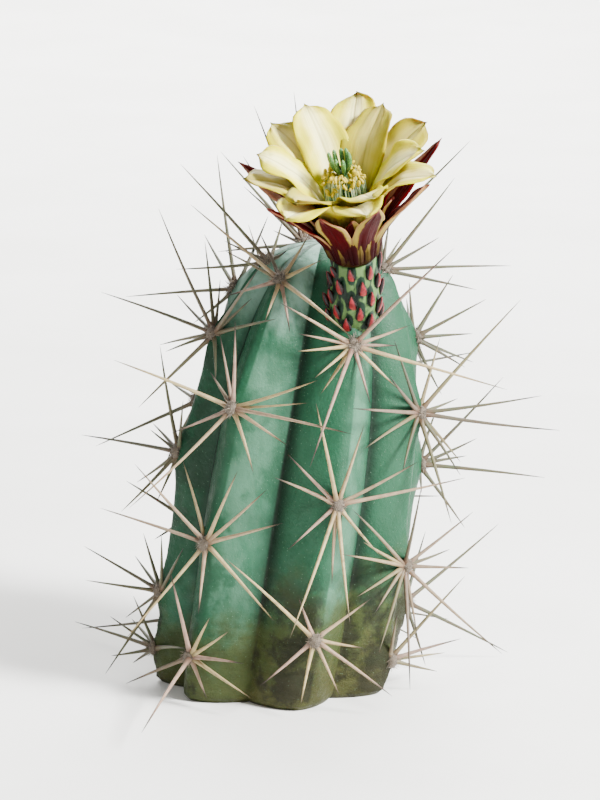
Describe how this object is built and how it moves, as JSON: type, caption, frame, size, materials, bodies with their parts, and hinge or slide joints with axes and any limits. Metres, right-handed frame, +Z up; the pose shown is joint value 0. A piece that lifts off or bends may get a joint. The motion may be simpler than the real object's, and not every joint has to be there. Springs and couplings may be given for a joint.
{
  "type": "hedgehog cactus",
  "caption": "Upright ribbed cactus stem with clusters of stiff spines along its ribs and one open flower on its shoulder.",
  "frame": {"origin": "middle of the flat cut foot of the stem, on the surface that it stands on", "axes": "+Z up along the plant, -Y towards its front, where the flower leans, +X to its right"},
  "size_m": [0.0959, 0.0943, 0.1205],
  "materials": {
    "stem_skin": "tough blue-green skin with a waxy bloom, corky and brown near the foot",
    "spine": "stiff cream to pinkish tan spines with dark tips, on grey felt pads",
    "tube_skin": "dark green skin with pointed red scales",
    "outer_tepal": "dark red with pale yellow margins and pinkish tips",
    "inner_tepal": "satin pale yellow, cream in the middle, olive at the foot",
    "stamen": "grey-green filaments with matt yellow anthers",
    "stigma": "pale green style with darker green finger-like lobes"
  },
  "bodies": {
    "root": {"stem": "stem_skin", "spine_cluster_a1": "spine", "spine_cluster_a2": "spine", "spine_cluster_a3": "spine", "spine_cluster_a4": "spine", "spine_cluster_a5": "spine", "spine_cluster_b1": "spine", "spine_cluster_b2": "spine", "spine_cluster_b3": "spine", "spine_cluster_b4": "spine", "spine_cluster_c1": "spine", "spine_cluster_c2": "spine", "spine_cluster_c3": "spine", "spine_cluster_d1": "spine", "spine_cluster_d2": "spine", "spine_cluster_d3": "spine", "spine_cluster_d4": "spine", "spine_cluster_e1": "spine", "spine_cluster_e2": "spine", "spine_cluster_e3": "spine", "spine_cluster_f1": "spine", "spine_cluster_f2": "spine", "spine_cluster_f3": "spine", "spine_cluster_f4": "spine", "spine_cluster_g1": "spine", "spine_cluster_g2": "spine", "spine_cluster_g3": "spine", "spine_cluster_g4": "spine", "spine_cluster_h1": "spine", "spine_cluster_h2": "spine", "spine_cluster_h3": "spine", "spine_cluster_h4": "spine", "floral_tube": "tube_skin", "outer_tepals": "outer_tepal", "inner_tepals": "inner_tepal", "stamens": "stamen", "pistil": "stigma"}
  },
  "joints": []
}
